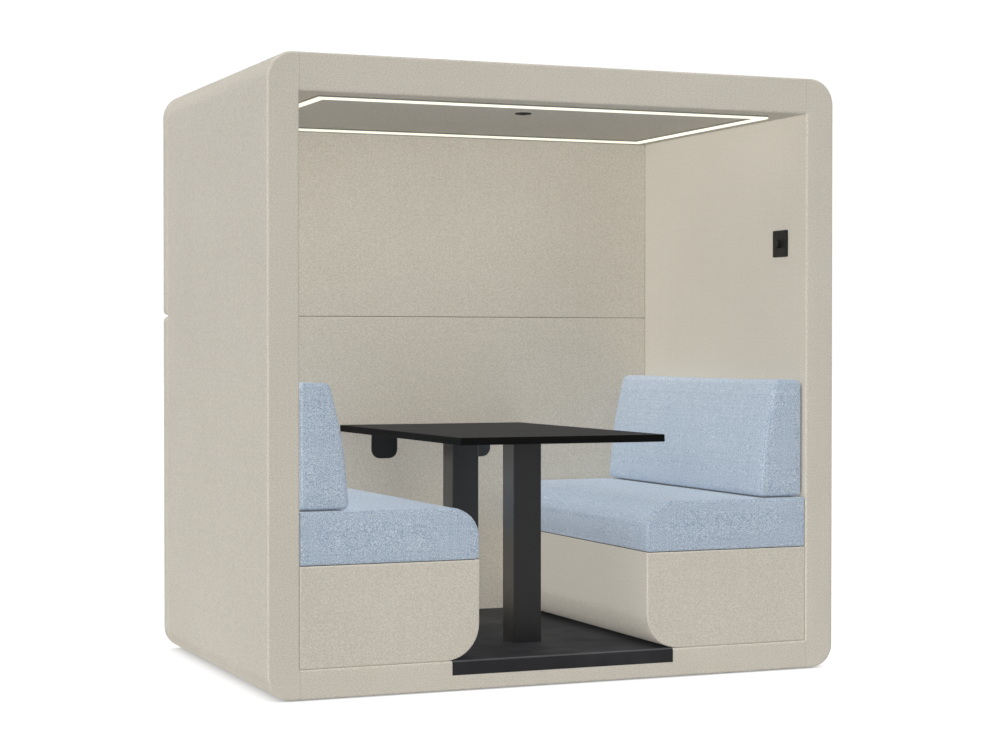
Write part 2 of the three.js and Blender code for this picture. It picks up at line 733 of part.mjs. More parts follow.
function backCushion() {
  const back = -INNER_X + BACK_BOARD_THICKNESS + FIT;
  const bottom = SEAT_TOP + BACK_CUSHION_LIFT;
  const corners = [
    new THREE.Vector2(back, bottom),
    new THREE.Vector2(-INNER_X + BACK_CUSHION_FOOT, bottom),
    new THREE.Vector2(-INNER_X + BACK_CUSHION_HEAD, BACK_CUSHION_TOP),
    new THREE.Vector2(back, BACK_CUSHION_TOP),
  ];
  const [backFoot, frontFoot, frontHead, backHead] = corners;
  const outline = new THREE.Shape();
  outline.moveTo(backFoot.x, backFoot.y);
  softCorner(outline, frontFoot, backFoot, frontHead);
  softCorner(outline, frontHead, frontFoot, backHead);
  softCorner(outline, backHead, frontHead, backFoot);
  const points = outline.getPoints(ARC_STEPS - 1);
  const swell = (point, share) => {
    const lengthwise = hump(share, 0, 1);
    if (point.y >= BACK_CUSHION_TOP) return -SIDE_DRAW * lengthwise;
    if (point.x <= frontHead.x) return 0;
    return BACK_CROWN * Math.sqrt(lengthwise) * hump(point.y, bottom, BACK_CUSHION_TOP);
  };
  const y0 = FRONT_Y + BACK_CUSHION_SETBACK;
  const y1 = LINING_Y - BACK_CUSHION_SETBACK;
  return sewnCushion(points, y0, y1, BACK_SEAM_RADIUS, swell);
}

function bench(side) {
  const group = new THREE.Group();
  group.add(
    piece(`${side}_bench_base`, benchBase(), SHELL_FABRIC),
    piece(`${side}_seat_board`, seatBoard(0), DARK_BOARD),
    piece(`${side}_seat_cushion`, seatCushion(), CUSHION_FABRIC),
    piece(`${side}_back_board`, backBoard(), DARK_BOARD),
    piece(`${side}_back_cushion`, backCushion(), CUSHION_FABRIC),
  );
  group.scale.x = -SIDES[side];
  return group;
}

// Table

function topPlateOutline(y, clearance) {
  const half = TOP_PLATE_WIDTH / 2 + clearance;
  return roundedRectangle(-half, half, y - half, y + half, PLATE_CORNER);
}

function tableTop() {
  const half = TABLE_WIDTH / 2;
  const outline = roundedRectangle(
    -half, half, FRONT_Y, LINING_Y - TABLE_BACK_GAP, TABLE_CORNER,
  );
  const blank = alongZ(outline, TABLE_UNDERSIDE, TABLE_TOP_HEIGHT, TABLE_EDGE);
  const pockets = Object.values(COLUMN_YS).map((y) =>
    alongZ(
      topPlateOutline(y, FIT),
      TABLE_UNDERSIDE - OVERCUT,
      TABLE_UNDERSIDE + TOP_PLATE_THICKNESS,
    ),
  );
  return piece("table_top", cut(blank, ...pockets), BLACK_LAMINATE);
}

function tableColumn(place, y) {
  const half = COLUMN_WIDTH / 2;
  const inner = half - COLUMN_WALL;
  const tube = roundedRectangle(-half, half, y - half, y + half, COLUMN_CORNER);
  const bore = COLUMN_CORNER - COLUMN_WALL;
  tube.holes.push(
    roundedRectangle(-inner, inner, y - inner, y + inner, bore, bore, THREE.Path),
  );
  const foot = INLAY_BOTTOM + BASE_PLATE_THICKNESS;
  const baseHalf = BASE_PLATE_WIDTH / 2;
  const base = roundedRectangle(-baseHalf, baseHalf, y - baseHalf, y + baseHalf, PLATE_CORNER);
  const plateTop = TABLE_UNDERSIDE + TOP_PLATE_THICKNESS;
  return [
    piece(`${place}_column`, alongZ(tube, foot, TABLE_UNDERSIDE), BLACK_STEEL),
    piece(`${place}_base_plate`, alongZ(base, INLAY_BOTTOM, foot), BLACK_STEEL),
    piece(
      `${place}_top_plate`, alongZ(topPlateOutline(y, 0), TABLE_UNDERSIDE, plateTop), BLACK_STEEL,
    ),
  ];
}

// A bent plate: one leg under the table, the other flat against the back lining.
function tableBracket(side) {
  const top = TABLE_UNDERSIDE;
  const back = LINING_Y;
  const bend = BRACKET_BEND + BRACKET_THICKNESS;
  const section = new THREE.Shape();
  section.moveTo(back - BRACKET_REACH, top - BRACKET_THICKNESS);
  section.lineTo(back - bend, top - BRACKET_THICKNESS);
  section.absarc(back - bend, top - bend, BRACKET_BEND, QUARTER_TURN, 0, true);
  section.lineTo(back - BRACKET_THICKNESS, top - BRACKET_DROP);
  section.lineTo(back, top - BRACKET_DROP);
  section.absarc(back - bend, top - bend, bend, 0, QUARTER_TURN);
  section.lineTo(back - BRACKET_REACH, top);
  section.closePath();
  const half = BRACKET_WIDTH / 2;
  const x = (SIDES[side] * BRACKET_SPACING) / 2;
  const bent = alongX(section, x - half, x + half);
  const tongue = roundedRectangle(
    x - half, x + half, top - BRACKET_DROP, top + BRACKET_CORNER, BRACKET_CORNER,
  );
  const outline = alongY(tongue, back - BRACKET_REACH - OVERCUT, back + OVERCUT);
  return piece(`${side}_table_bracket`, common(bent, outline), BLACK_STEEL);
}

// Ceiling light, driver and presence sensor

function lightRing(width, z0, z1) {
  const inset = (LIGHT_WIDTH - width) / 2;
  const outline = ring(
    -LIGHT_X + inset, LIGHT_X - inset, LIGHT_FRONT_Y + inset, LIGHT_BACK_Y - inset, width,
  );
  return alongZ(outline, z0, z1);
}

function ceilingLight() {
  const channelZ = CEILING_Z - CHANNEL_THICKNESS;
  const diffuserZ = channelZ - DIFFUSER_HEIGHT;
  const cover = lightRing(LIGHT_WIDTH, diffuserZ, channelZ);
  const hollow = lightRing(
    LIGHT_WIDTH - 2 * DIFFUSER_WALL, diffuserZ + DIFFUSER_WALL, channelZ + OVERCUT,
  );
  return [
    piece("light_channel", lightRing(LIGHT_WIDTH, channelZ, CEILING_Z), ALUMINIUM),
    piece("light_strip", lightRing(STRIP_WIDTH, channelZ - STRIP_THICKNESS, channelZ), LIGHT_BOARD),
    piece("light_diffuser", cut(cover, hollow), OPAL_PLASTIC),
  ];
}

function lightDriver() {
  const x = DRIVER_LENGTH / 2;
  const y = DRIVER_WIDTH / 2;
  const body = roundedRectangle(-x, x, DRIVER_Y - y, DRIVER_Y + y, DRIVER_CORNER);
  const tabX = x + DRIVER_TAB_LENGTH;
  const tabs = roundedRectangle(-tabX, tabX, DRIVER_Y - y / 2, DRIVER_Y + y / 2, DRIVER_CORNER);
  const casing = alongZ(body, POCKET_FLOOR, POCKET_FLOOR + DRIVER_HEIGHT);
  const feet = alongZ(tabs, POCKET_FLOOR, POCKET_FLOOR + DRIVER_TAB_THICKNESS);
  return piece("light_driver", join(casing, feet), DRIVER_WHITE);
}

function serviceHatch() {
  const plate = alongZ(hatchOutline(0), POD_HEIGHT - HATCH_THICKNESS, POD_HEIGHT);
  return piece("service_hatch", plate, SHELL_FABRIC);
}

// The bezel's can sits in the ceiling hole. Heights are measured up from the ceiling.
function presenceSensor() {
  const seat = LENS_SEAT - SENSOR_RIM;
  const bezel = turned([
    [0, SENSOR_CAN_DEPTH],
    [0, seat],
    [LENS_RADIUS + FIT, seat],
    [LENS_RADIUS + FIT, -SENSOR_RIM],
    [SENSOR_RADIUS - SENSOR_RIM / 2, -SENSOR_RIM],
    [SENSOR_RADIUS, 0],
    [SENSOR_CAN_RADIUS, 0],
    [SENSOR_CAN_RADIUS, SENSOR_CAN_DEPTH],
    [0, SENSOR_CAN_DEPTH],
  ]);
  const dome = [[0, seat], [0, -SENSOR_RIM - LENS_DROP]];
  for (let step = 1; step <= ARC_STEPS; step += 1) {
    const angle = (QUARTER_TURN * step) / ARC_STEPS;
    dome.push([LENS_RADIUS * Math.sin(angle), -SENSOR_RIM - LENS_DROP * Math.cos(angle)]);
  }
  dome.push([LENS_RADIUS, seat], [0, seat]);
  const parts = [
    piece("sensor_bezel", bezel, BLACK_PLASTIC),
    piece("sensor_lens", turned(dome), BLACK_PLASTIC),
  ];
  parts.forEach((part) => part.position.set(0, SENSOR_Y, CEILING_Z));
  return parts;
}

// Wall dimmer, drawn with +Z out of the wall and set into the right wall facing the cabin

function dimmerPlace() {
  return new THREE.Matrix4()
    .makeRotationY(-QUARTER_TURN)
    .setPosition(INNER_X, DIMMER_Y, DIMMER_HEIGHT);
}

function dimmerPocket() {
  return cylinder(BOX_RADIUS + FIT, -BOX_DEPTH - FIT, OVERCUT).applyMatrix4(dimmerPlace());
}

function dimmerBox() {
  const inner = BOX_RADIUS - BOX_WALL;
  return turned([
    [0, -BOX_DEPTH],
    [BOX_RADIUS, -BOX_DEPTH],
    [BOX_RADIUS, 0],
    [inner, 0],
    [inner, -BOX_DEPTH + BOX_WALL],
    [0, -BOX_DEPTH + BOX_WALL],
  ]);
}

function dimmerPlate() {
  const half = PLATE_WIDTH / 2;
  const window = MODULE_WIDTH / 2 + FIT;
  const outline = roundedRectangle(-half, half, -half, half, PLATE_ROUNDING);
  const blank = alongZ(outline, FIT - PLATE_BEVEL, PLATE_DEPTH, PLATE_BEVEL);
  const behind = box(-half, half, -half, half, -OVERCUT, FIT);
  return cut(blank, behind, box(-window, window, -window, window, -OVERCUT, PLATE_DEPTH + OVERCUT));
}

function dimmerModule() {
  const half = MODULE_WIDTH / 2;
  const faceBack = PLATE_DEPTH - MODULE_FACE_DEPTH;
  const face = alongZ(rectangle(-half, half, -half, half), faceBack, PLATE_DEPTH);
  const body = cylinder(MODULE_BODY_RADIUS, -MODULE_BODY_DEPTH, faceBack + FIT);
  const spindle = cylinder(SPINDLE_RADIUS, PLATE_DEPTH - FIT, PLATE_DEPTH + SPINDLE_LENGTH);
  return join(face, body, spindle);
}

function dimmerKnob() {
  const base = PLATE_DEPTH + KNOB_LIFT;
  const top = PLATE_DEPTH + KNOB_HEIGHT;
  const bore = SPINDLE_RADIUS + FIT;
  const boreTop = PLATE_DEPTH + SPINDLE_LENGTH + FIT;
  return turned([
    [0, boreTop],
    [bore, boreTop],
    [bore, base],
    [KNOB_RADIUS, base],
    [KNOB_RADIUS, top - KNOB_CHAMFER],
    [KNOB_RADIUS - KNOB_CHAMFER, top],
    [0, top],
  ]);
}

function wallDimmer() {
  const group = new THREE.Group();
  group.add(
    piece("dimmer_box", dimmerBox(), BLACK_PLASTIC),
    piece("dimmer_module", dimmerModule(), BLACK_PLASTIC),
    piece("dimmer_plate", dimmerPlate(), BLACK_PLASTIC),
    piece("dimmer_knob", dimmerKnob(), BLACK_PLASTIC),
  );
  group.applyMatrix4(dimmerPlace());
  return group;
}

// The whole pod
const tube = shellTube();
const pod = new THREE.Group();
pod.name = "acoustic_office_pod";
pod.add(
  sideWall("left", tube),
  sideWall("right", tube, dimmerPocket()),
  roofPanel(tube),
  floorPanel(tube),
  ...splines(),
  ...backPanels(),
  ...backLinings(),
  floorInlay(),
  ...footPlaces().flatMap(levellingFoot),
  ...Object.keys(SIDES).map(bench),
  tableTop(),
  ...Object.entries(COLUMN_YS).flatMap(([place, y]) => tableColumn(place, y)),
  ...Object.keys(SIDES).map(tableBracket),
  ...ceilingLight(),
  lightDriver(),
  serviceHatch(),
  ...presenceSensor(),
  wallDimmer(),
);

export default pod;
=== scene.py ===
import math
from collections import namedtuple

import bpy
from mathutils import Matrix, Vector, noise


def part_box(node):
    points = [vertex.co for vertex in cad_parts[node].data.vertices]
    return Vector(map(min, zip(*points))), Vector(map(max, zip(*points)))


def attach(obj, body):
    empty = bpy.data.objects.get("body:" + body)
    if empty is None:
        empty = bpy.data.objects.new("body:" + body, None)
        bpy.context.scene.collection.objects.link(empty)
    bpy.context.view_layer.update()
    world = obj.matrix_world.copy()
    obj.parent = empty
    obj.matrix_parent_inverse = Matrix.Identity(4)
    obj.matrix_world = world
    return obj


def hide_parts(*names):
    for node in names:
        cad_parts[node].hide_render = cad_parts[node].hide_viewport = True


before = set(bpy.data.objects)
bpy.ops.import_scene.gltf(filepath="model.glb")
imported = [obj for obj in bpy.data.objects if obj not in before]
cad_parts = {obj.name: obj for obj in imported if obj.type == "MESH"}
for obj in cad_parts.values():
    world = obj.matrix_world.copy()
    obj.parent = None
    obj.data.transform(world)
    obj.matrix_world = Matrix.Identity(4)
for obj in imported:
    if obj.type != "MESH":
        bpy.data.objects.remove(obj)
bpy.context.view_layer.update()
scene = bpy.context.scene
MM = 0.001


# Node helpers

# Rays that find seams and gaps, for the painted shade in them
CREASE_SHADE_SAMPLES = 6


class Nodes:
    """Short calls that add nodes to one tree. A value is a number, a colour or a node's output."""

    def __init__(self, tree):
        self.tree = tree
        tree.nodes.clear()

    def add(self, kind, inputs=None, **settings):
        """A new node with its settings made and its inputs fed, by name or by number."""
        node = self.tree.nodes.new(kind)
        for key, value in settings.items():
            setattr(node, key, value)
        for key, value in (inputs or {}).items():
            self.feed(node.inputs[key], value)
        return node

    def feed(self, socket, value):
        if isinstance(value, bpy.types.NodeSocket):
            self.tree.links.new(value, socket)
        elif isinstance(value, tuple):
            socket.default_value = (*value, 1.0)
        else:
            socket.default_value = value

    def math(self, operation, *values):
        return self.add("ShaderNodeMath", dict(enumerate(values)), operation=operation).outputs[0]


class Look(Nodes):
    """One material: a Principled shader, and short calls for the nodes that drive it."""

    def __init__(self, name, **sockets):
        self.material = bpy.data.materials.new(name)
        self.material.use_nodes = True
        super().__init__(self.material.node_tree)
        self.shader = self.add("ShaderNodeBsdfPrincipled")
        self.add("ShaderNodeOutputMaterial", {"Surface": self.shader.outputs[0]})
        for socket, value in sockets.items():
            self.drive(socket.replace("_", " "), value)

    def drive(self, socket, value):
        self.feed(self.shader.inputs[socket], value)

    def pick(self, share, low, high):
        """The number low where share is 0, and high where it is 1."""
        node = self.add("ShaderNodeMix", {0: share, 2: low, 3: high}, data_type="FLOAT")
        return node.outputs[0]

    def blend(self, share, low, high, kind="MIX"):
        """The colour low where share is 0, and high where it is 1."""
        inputs = {0: share, 6: low, 7: high}
        return self.add("ShaderNodeMix", inputs, data_type="RGBA", blend_type=kind).outputs[2]

    def vector(self, x, y, z=0.0):
        return self.add("ShaderNodeCombineXYZ", {0: x, 1: y, 2: z}).outputs[0]

    def place(self):
        """The point in the shared frame, in metres."""
        return self.add("ShaderNodeTexCoord").outputs["Object"]

    def parts(self, vector):
        return self.add("ShaderNodeSeparateXYZ", {0: vector}).outputs[:]

    def facing(self):
        """How far the surface faces along X, Y and Z, from 0 to 1 each."""
        normal = self.add("ShaderNodeTexCoord").outputs["Normal"]
        return [self.math("ABSOLUTE", part) for part in self.parts(normal)]

    def flat(self):
        """Two coordinates that run along the surface, in metres, whichever way it faces."""
        x, y, z = self.parts(self.place())
        a, b, c = self.facing()
        along_x = self.math("GREATER_THAN", a, self.math("MAXIMUM", b, c))
        along_z = self.math("GREATER_THAN", c, self.math("MAXIMUM", a, b))
        return self.pick(along_x, x, y), self.pick(along_z, z, y)

    def noise(self, where, scale, detail=2.0, roughness=0.5):
        inputs = {"Vector": where, "Scale": scale, "Detail": detail, "Roughness": roughness}
        return self.add("ShaderNodeTexNoise", inputs).outputs["Fac"]

    def chance(self, where):
        """A number from 0 to 1 that differs from one whole step of where to the next."""
        node = self.add("ShaderNodeTexWhiteNoise", noise_dimensions="1D")
        self.feed(node.inputs["W"], where)
        return node.outputs["Value"]

    def ramp(self, share, *stops):
        node = self.add("ShaderNodeValToRGB", {0: share})
        elements = node.color_ramp.elements
        while len(elements) < len(stops):
            elements.new(0.5)
        for element, (position, colour) in zip(elements, stops):
            element.position = position
            element.color = (*colour, 1.0)
        return node.outputs[0]

    def between(self, share, dark, light):
        """A colour from dark to light, over the values that a noise takes most."""
        low, high = NOISE_SPAN
        return self.ramp(share, (low, dark), (high, light))

    def level(self, share, low, high, start=0.0, end=1.0):
        """share from start to end, spread over low to high."""
        inputs = dict(enumerate((share, start, end, low, high)))
        return self.add("ShaderNodeMapRange", inputs).outputs[0]

    def with_painted_crease_shade(self, colour, reach, deepest, start, end):
        """The colour with painted shade in seams and gaps: deepest is its share where one is almost
        shut.
        """
        crease_shade = self.add("ShaderNodeAmbientOcclusion", {"Distance": reach}, samples=CREASE_SHADE_SAMPLES)
        shade = self.level(crease_shade.outputs["AO"], deepest, 1.0, start, end)
        return self.blend(1.0, colour, shade, kind="MULTIPLY")

    def bump(self, height, distance, strength):
        inputs = {"Height": height, "Distance": distance, "Strength": strength}
        return self.add("ShaderNodeBump", inputs).outputs[0]


def srgb(r, g, b):
    """A colour given as 0 to 255 on screen, as the shaders need it."""
    shares = (r / 255, g / 255, b / 255)
    return tuple(c / 12.92 if c <= 0.04045 else ((c + 0.055) / 1.055) ** 2.4 for c in shares)


# Materials

# Most values of a noise, and of the sum of two, lie in these spans
NOISE_SPAN = 0.3, 0.7
SUM_SPAN = 0.7, 1.3
# Plain weave: each thread's tone is drawn by its number, and its slubs are long and thin
WEFT_DRAW = 0.37
WARP_DRAW = 400.61
SLUB_SCALE = 0.6
SLUB_STRETCH = 0.07
WEFT_LAYER = 7.0
YARN_ROUGHNESS = 0.65
YARN_FUZZ = 0.6
# The weave's dips are painted darker, as shade, by THREAD_SHADING
THREAD_MEAN_HEIGHT = 0.64
THREAD_SHADING = 0.16
CLOUD_SCALE = 2.3
CLOUD_SHADING = 0.10
# The opal cover of the light clips in at the ceiling, where its colour is painted dark as shade and
# its glow fades
CLIP_DEPTH = 2.6 * MM
CLIP_FADE = 1.0 * MM
GLOW_SIDE = 0.78
GLOW_BELOW = 0.96
# Light strip: emitters to the metre, and the half width of one in its step
EMITTERS = 60.0
EMITTER_HALF = 0.14


def woven(name, pitch, dark, middle, light, thread, fleck, fleck_size, relief, crease_shade):
    """A plain weave: threads that pass over and under, each with its own tone, and mixed yarn, with
    painted shade in its dips, seams and gaps.

    thread and fleck say how far the threads' tones and the yarn's mix move the colour.
    """
    look = Look(name, Sheen_Weight=0.12, Sheen_Roughness=0.5, Specular_IOR_Level=0.2)
    u, v = look.flat()
    across = look.math("DIVIDE", u, pitch)
    along = look.math("DIVIDE", v, pitch)
    warp = look.math("FLOOR", across)
    weft = look.math("FLOOR", along)
    over = look.math("PINGPONG", look.math("ADD", warp, weft), 1.0)

    def bulge(way):
        return look.math("ABSOLUTE", look.math("SINE", look.math("MULTIPLY", way, math.pi)))

    def drawn_out(way):
        return look.math("MULTIPLY", way, SLUB_STRETCH)

    height = look.pick(over, bulge(along), bulge(across))
    weft_tone = look.chance(look.math("ADD", weft, WEFT_DRAW))
    warp_tone = look.chance(look.math("ADD", warp, WARP_DRAW))
    tone = look.pick(over, weft_tone, warp_tone)
    warp_slub = look.noise(look.vector(across, drawn_out(along)), SLUB_SCALE, 1.0)
    weft_slub = look.noise(look.vector(drawn_out(across), along, WEFT_LAYER), SLUB_SCALE, 1.0)
    slub = look.pick(over, weft_slub, warp_slub)
    yarn = look.noise(look.place(), 1.0 / fleck_size, roughness=YARN_ROUGHNESS)
    cloud = look.noise(look.place(), CLOUD_SCALE)
    # Raised threads lighter and dips darker: painted shade in the weave
    shade = 0.5
    for value, mean, share in (
        (tone, 0.5, thread),
        (slub, 0.5, thread),
        (yarn, 0.5, fleck),
        (height, THREAD_MEAN_HEIGHT, THREAD_SHADING),
        (cloud, 0.5, CLOUD_SHADING),
    ):
        shade = look.math("MULTIPLY_ADD", look.math("SUBTRACT", value, mean), share, shade)
    colour = look.ramp(shade, (0.0, dark), (0.5, middle), (1.0, light))
    # Painted shade in the seams and gaps
    look.drive("Base Color", look.with_painted_crease_shade(colour, **crease_shade))
    look.drive("Roughness", look.level(height, 0.97, 0.86))
    fuzz = look.math("MULTIPLY_ADD", yarn, YARN_FUZZ, height)
    look.drive("Normal", look.bump(fuzz, relief, strength=0.6))
    return look.material


def coated_steel():
    """Powder coat: a fine orange-peel skin, rubbed a little brighter in patches."""
    look = Look("powder_coated_steel", Specular_IOR_Level=0.5, Coat_Weight=0.8, Coat_Roughness=0.3)
    where = look.place()
    peel = look.noise(where, scale=620.0, roughness=0.55)
    rubbed = look.noise(where, scale=9.0, detail=3.0, roughness=0.6)
    look.drive("Base Color", look.between(rubbed, srgb(21, 21, 22), srgb(26, 26, 27)))
    look.drive("Roughness", look.level(look.math("ADD", peel, rubbed), 0.34, 0.48, *SUM_SPAN))
    look.drive("Normal", look.bump(peel, 0.25 * MM, strength=0.5))
    return look.material


def laminate():
    """Laminate with a fine pearl surface and a trace of hand marks; its edge is plain black, and
    its top is paler, partly its own tone and partly a painted reflection.
    """
    look = Look("black_laminate")
    where = look.place()
    pearl = look.noise(where, scale=900.0, roughness=0.6)
    marks = look.noise(where, scale=6.0, detail=4.0, roughness=0.65)
    # The top's paler colour is partly its own tone and partly a painted reflection in place of
    # gloss
    top = look.math("GREATER_THAN", look.facing()[2], 0.7)
    face = look.between(marks, srgb(51, 51, 52), srgb(56, 56, 57))
    edge = look.between(marks, srgb(15, 15, 15), srgb(19, 19, 19))
    look.drive("Base Color", look.blend(top, edge, face))
    look.drive("Specular IOR Level", look.pick(top, 0.04, 0.01))
    look.drive("Roughness", look.level(marks, 0.56, 0.62, start=0.35, end=0.65))
    look.drive("Normal", look.bump(pearl, 0.12 * MM, strength=0.5))
    return look.material


def floor_covering():
    """Dark flooring with flecks and a pebbled skin, more polished where feet pass.

    Its nosing, the rounded front edge, has a painted highlight, patchy in places, and painted shade
    darkens it towards its inner corners.
    """
    look = Look("floor_covering", Specular_IOR_Level=0.06)
    where = look.place()
    pebble = look.noise(where, scale=260.0)
    fleck = look.noise(where, scale=700.0, detail=1.0)
    walked = look.noise(where, scale=4.0, detail=3.0, roughness=0.55)
    shade = look.math("MULTIPLY_ADD", look.math("SUBTRACT", fleck, 0.5), 0.9, walked)
    dark, middle, light = srgb(38, 38, 40), srgb(45, 45, 47), srgb(55, 55, 57)
    colour = look.ramp(shade, (0.25, dark), (0.6, middle), (0.85, light))
    # Painted highlight along the nosing, patchy in places
    slope = look.facing()[2]
    past_front = look.level(slope, 0.0, 1.0, start=0.3, end=0.6)
    before_top = look.level(slope, 1.0, 0.0, start=0.9, end=0.99)
    nosing = look.math("MULTIPLY", past_front, before_top)
    nosing_highlight = look.math("MULTIPLY", nosing, look.level(walked, 0.5, 1.0, *NOISE_SPAN))
    with_nosing_highlight = look.blend(nosing_highlight, colour, srgb(84, 84, 86))
    # Painted shade towards the inner corners
    shaded = look.with_painted_crease_shade(with_nosing_highlight, reach=60 * MM, deepest=0.25, start=0.1, end=0.8)
    look.drive("Base Color", shaded)
    look.drive("Roughness", look.level(look.math("ADD", pebble, walked), 0.72, 0.52, *SUM_SPAN))
    look.drive("Normal", look.bump(pebble, 0.35 * MM, strength=0.5))
    return look.material


def moulded_plastic(name, tone, grain):
    """Moulded black plastic with a spark-eroded grain."""
    look = Look(name, Specular_IOR_Level=0.25)
    where = look.place()
    fine = look.noise(where, grain, roughness=0.6)
    wide = look.noise(where, scale=45.0)
    rubbed = srgb(tone + 6, tone + 6, tone + 7)
    look.drive("Base Color", look.between(wide, srgb(tone, tone, tone), rubbed))
    look.drive("Roughness", look.level(look.math("ADD", fine, wide), 0.42, 0.6, *SUM_SPAN))
    look.drive("Normal", look.bump(fine, 0.15 * MM, strength=0.5))
    return look.material


def rubber():
    """Dull black rubber with a fine skin."""
    look = Look("foot_rubber", Specular_IOR_Level=0.3)
    skin = look.noise(look.place(), scale=480.0, detail=3.0, roughness=0.6)
    look.drive("Base Color", look.between(skin, srgb(30, 30, 31), srgb(44, 44, 45)))
    look.drive("Roughness", look.level(skin, 0.72, 0.9, *NOISE_SPAN))
    look.drive("Normal", look.bump(skin, 0.3 * MM, strength=0.6))
    return look.material


def wood(name, dark, light, stretch, scale):
    """Grain that runs along Y, with darker late wood and pores."""
    look = Look(name, Specular_IOR_Level=0.3)
    x, y, z = look.parts(look.place())
    where = look.vector(x, look.math("MULTIPLY", y, stretch), z)
    rings = look.noise(where, scale, detail=5.0, roughness=0.62)
    pores = look.noise(where, scale * 6.0, roughness=0.6)
    shade = look.math("MULTIPLY_ADD", pores, 0.35, look.math("MULTIPLY", rings, 0.75))
    look.drive("Base Color", look.ramp(shade, (0.3, dark), (0.75, light)))
    look.drive("Roughness", look.level(pores, 0.55, 0.75, *NOISE_SPAN))
    look.drive("Normal", look.bump(pores, 0.2 * MM, strength=0.4))
    return look.material


def metal(name, dark, light, rough, brushed):
    """Bare metal, drawn or plated: fine lines along the run, and a cloudier tone in patches."""
    look = Look(name, Metallic=1.0)
    x, y, z = look.parts(look.place())
    run = look.vector(look.math("MULTIPLY", x, brushed), y, look.math("MULTIPLY", z, brushed))
    lines = look.noise(run, scale=160.0)
    cloud = look.noise(look.place(), scale=60.0, detail=3.0, roughness=0.6)
    both = look.math("ADD", lines, cloud)
    look.drive("Base Color", look.between(cloud, dark, light))
    look.drive("Roughness", look.level(both, rough - 0.1, rough + 0.12, *SUM_SPAN))
    look.drive("Normal", look.bump(lines, 0.05 * MM, strength=0.4))
    return look.material


def lit_opal(joint):
    """Opal cover with the light behind it: white below, warmer through its sides.

    Where it clips in, up to the height of the joint, its colour is painted dark as shade and its
    glow fades out.
    """
    look = Look("lit_opal", Roughness=0.45)
    frost = look.noise(look.place(), scale=900.0)
    spots = look.noise(look.place(), scale=130.0, detail=1.0)
    below = look.math("GREATER_THAN", look.facing()[2], 0.5)
    height = look.parts(look.place())[2]
    # Painted shade: the colour goes dark above dark_from, where the cover clips in
    dark_from = joint - CLIP_DEPTH
    clear = look.level(height, 1.0, 0.0, start=dark_from - CLIP_FADE, end=dark_from)
    shade = look.math("MULTIPLY_ADD", frost, 0.15, look.math("MULTIPLY", clear, 0.8))
    body = look.ramp(shade, (0.0, (0.10, 0.10, 0.09)), (0.95, (0.44, 0.43, 0.40)))
    look.drive("Base Color", body)
    side_glow = look.between(spots, (0.96, 0.92, 0.70), (1.0, 0.97, 0.78))
    face_glow = look.between(spots, (1.0, 0.99, 0.84), (1.0, 1.0, 0.90))
    look.drive("Emission Color", look.blend(below, side_glow, face_glow))
    strength = look.math("MULTIPLY", clear, look.pick(below, GLOW_SIDE, GLOW_BELOW))
    look.drive("Emission Strength", strength)
    look.drive("Normal", look.bump(frost, 0.1 * MM, strength=0.3))
    return look.material


def circuit_board():
    """White solder mask with a yellow emitter at every few millimetres."""
    look = Look("light_board", Specular_IOR_Level=0.4)
    x, y, _ = look.parts(look.place())
    step = look.math("FRACT", look.math("MULTIPLY", look.math("ADD", x, y), EMITTERS))
    off_middle = look.math("ABSOLUTE", look.math("SUBTRACT", step, 0.5))
    emitter = look.math("LESS_THAN", off_middle, EMITTER_HALF)
    mask = look.noise(look.place(), scale=300.0)
    white = look.between(mask, (0.74, 0.74, 0.72), (0.82, 0.82, 0.80))
    look.drive("Base Color", look.blend(emitter, white, (0.85, 0.62, 0.12)))
    look.drive("Roughness", look.level(mask, 0.35, 0.5, *NOISE_SPAN))
    look.drive("Normal", look.bump(mask, 0.1 * MM, strength=0.3))
    return look.material


def casing():
    """Pale moulded case of the light driver."""
    look = Look("driver_casing", Specular_IOR_Level=0.4)
    grain = look.noise(look.place(), scale=700.0)
    cloud = look.noise(look.place(), scale=30.0)
    look.drive("Base Color", look.between(cloud, srgb(206, 206, 203), srgb(219, 219, 216)))
    look.drive("Roughness", look.level(grain, 0.45, 0.6, *NOISE_SPAN))
    look.drive("Normal", look.bump(grain, 0.12 * MM, strength=0.5))
    return look.material


SHELL_FABRIC = woven(
    "shell_fabric",
    pitch=2.1 * MM,
    dark=srgb(150, 143, 129),
    middle=srgb(193, 187, 175),
    light=srgb(226, 221, 211),
    thread=0.05,
    fleck=1.15,
    fleck_size=4.0 * MM,
    relief=0.5 * MM,
    crease_shade=dict(reach=13 * MM, deepest=0.12, start=0.05, end=0.42),
)
CUSHION_FABRIC = woven(
    "cushion_fabric",
    pitch=3.0 * MM,
    dark=srgb(112, 133, 160),
    middle=srgb(163, 176, 190),
    light=srgb(213, 221, 229),
    thread=0.12,
    fleck=2.2,
    fleck_size=3.3 * MM,
    relief=0.8 * MM,
    crease_shade=dict(reach=13 * MM, deepest=0.02, start=0.10, end=0.42),
)
THREAD = woven(
    "sewing_thread",
    pitch=0.9 * MM,
    dark=srgb(78, 94, 116),
    middle=srgb(112, 129, 150),
    light=srgb(150, 164, 182),
    thread=0.3,
    fleck=0.6,
    fleck_size=2.0 * MM,
    relief=0.2 * MM,
    crease_shade=dict(reach=4 * MM, deepest=0.4, start=0.05, end=0.4),
)
DARK_BOARD = wood(
    "dark_board", dark=srgb(38, 34, 31), light=srgb(58, 52, 47), stretch=0.12, scale=160.0
)
BIRCH = wood(
    "birch", dark=srgb(196, 168, 128), light=srgb(222, 198, 160), stretch=0.08, scale=120.0
)
ZINC_STEEL = metal(
    "zinc_steel", dark=srgb(168, 170, 172), light=srgb(196, 197, 196), rough=0.38, brushed=0.1
)
